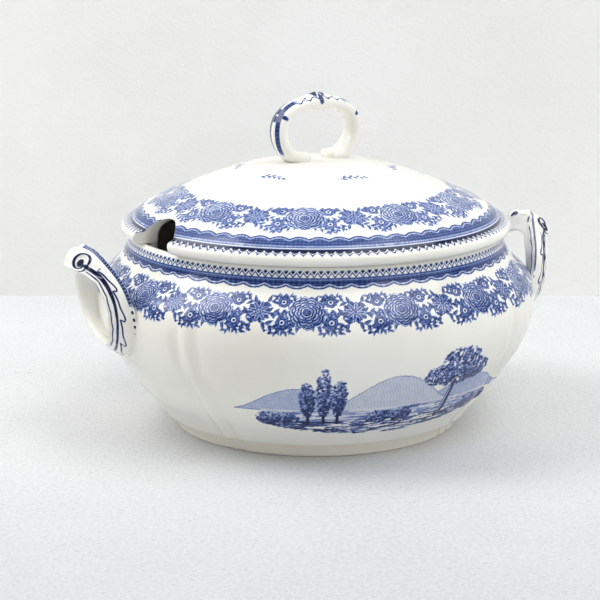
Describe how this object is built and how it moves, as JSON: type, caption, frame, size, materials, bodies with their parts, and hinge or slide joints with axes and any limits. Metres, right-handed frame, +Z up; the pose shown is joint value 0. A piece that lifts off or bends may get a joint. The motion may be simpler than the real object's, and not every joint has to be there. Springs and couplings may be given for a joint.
{
  "type": "soup tureen",
  "caption": "Round lidded soup tureen with a looped handle at each side, a looped lid handle and a ladle notch in the lid edge, glazed white with printed blue decoration.",
  "frame": {"origin": "on the table, under the middle of the foot", "axes": "+Z up, +X from side handle to side handle, the wide printed panel of the bowl faces -Y"},
  "size_m": [0.3246, 0.2786, 0.2094],
  "materials": {
    "bowl_glaze": "gloss",
    "foot_glaze": "gloss",
    "handle_glaze": "gloss",
    "lid_glaze": "gloss",
    "flange_glaze": "satin",
    "lid_handle_glaze": "gloss"
  },
  "bodies": {
    "tureen": {"bowl": "bowl_glaze", "foot_ring": "foot_glaze", "handle_left": "handle_glaze", "handle_right": "handle_glaze"},
    "cover": {"lid": "lid_glaze", "lid_flange": "flange_glaze", "lid_handle": "lid_handle_glaze"}
  },
  "joints": [
    {"name": "lid_lift", "type": "slide", "parent": "tureen", "child": "cover", "axis": [0, 0, 1], "range_m": [0, 0.12]}
  ]
}
